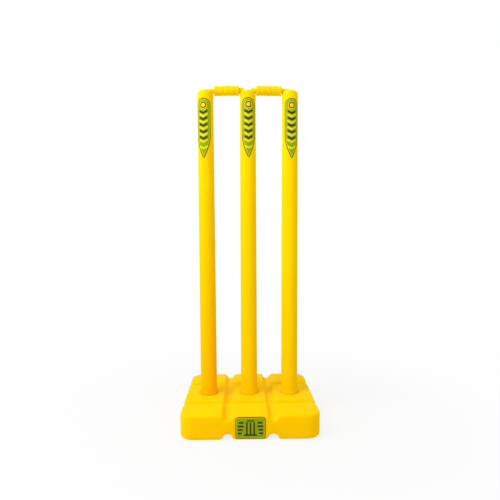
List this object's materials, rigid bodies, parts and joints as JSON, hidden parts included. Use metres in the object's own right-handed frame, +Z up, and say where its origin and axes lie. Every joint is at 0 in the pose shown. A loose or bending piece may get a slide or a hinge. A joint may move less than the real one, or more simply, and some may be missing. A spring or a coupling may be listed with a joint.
{
  "type": "cricket wicket with ballast base",
  "caption": "Free-standing moulded cricket wicket: round stumps plugged into a hollow block base, with bails laid in grooves across their crowns.",
  "frame": {"origin": "on the ground, under the middle of the base", "axes": "+Z up along the stumps, +X across the wicket from the left stump to the right one, -Y out of the front with the label"},
  "size_m": [0.296, 0.2912, 0.7583],
  "materials": {
    "base_plastic": "satin blow-moulded polyethylene",
    "stump_plastic": "satin moulded polyethylene",
    "bail_plastic": "satin moulded plastic with turned rings",
    "bung_plastic": "soft moulded polyethylene",
    "label_film": "printed film, a green field with yellow and dark marks and a dark outline"
  },
  "bodies": {
    "base": {"base_shell": "base_plastic", "base_label": "label_film"},
    "bung": {"filler_bung": "bung_plastic"},
    "middle_stump": {"middle_stump": "stump_plastic", "middle_stump_label": "label_film"},
    "left_stump": {"left_stump": "stump_plastic", "left_stump_label": "label_film"},
    "right_stump": {"right_stump": "stump_plastic", "right_stump_label": "label_film"},
    "left_bail": {"left_bail": "bail_plastic"},
    "right_bail": {"right_bail": "bail_plastic"}
  },
  "joints": [
    {"name": "stump_lift", "type": "slide", "parent": "base", "child": "middle_stump", "axis": [0, 0, 1], "range_m": [0, 0.05]},
    {"name": "left_stump_lift", "type": "slide", "parent": "base", "child": "left_stump", "axis": [0, 0, 1], "range_m": [0, 0.05]},
    {"name": "right_stump_lift", "type": "slide", "parent": "base", "child": "right_stump", "axis": [0, 0, 1], "range_m": [0, 0.05]},
    {"name": "left_bail_lift", "type": "slide", "parent": "middle_stump", "child": "left_bail", "axis": [0, 0, 1], "range_m": [0, 0.03]},
    {"name": "right_bail_lift", "type": "slide", "parent": "middle_stump", "child": "right_bail", "axis": [0, 0, 1], "range_m": [0, 0.03]},
    {"name": "bung_pull", "type": "slide", "parent": "base", "child": "bung", "axis": [0, 1, 0], "range_m": [0, 0.03]}
  ],
  "couplings": [
    {"joint": "left_stump_lift", "follows": "stump_lift", "ratio": 1},
    {"joint": "right_stump_lift", "follows": "stump_lift", "ratio": 1}
  ]
}
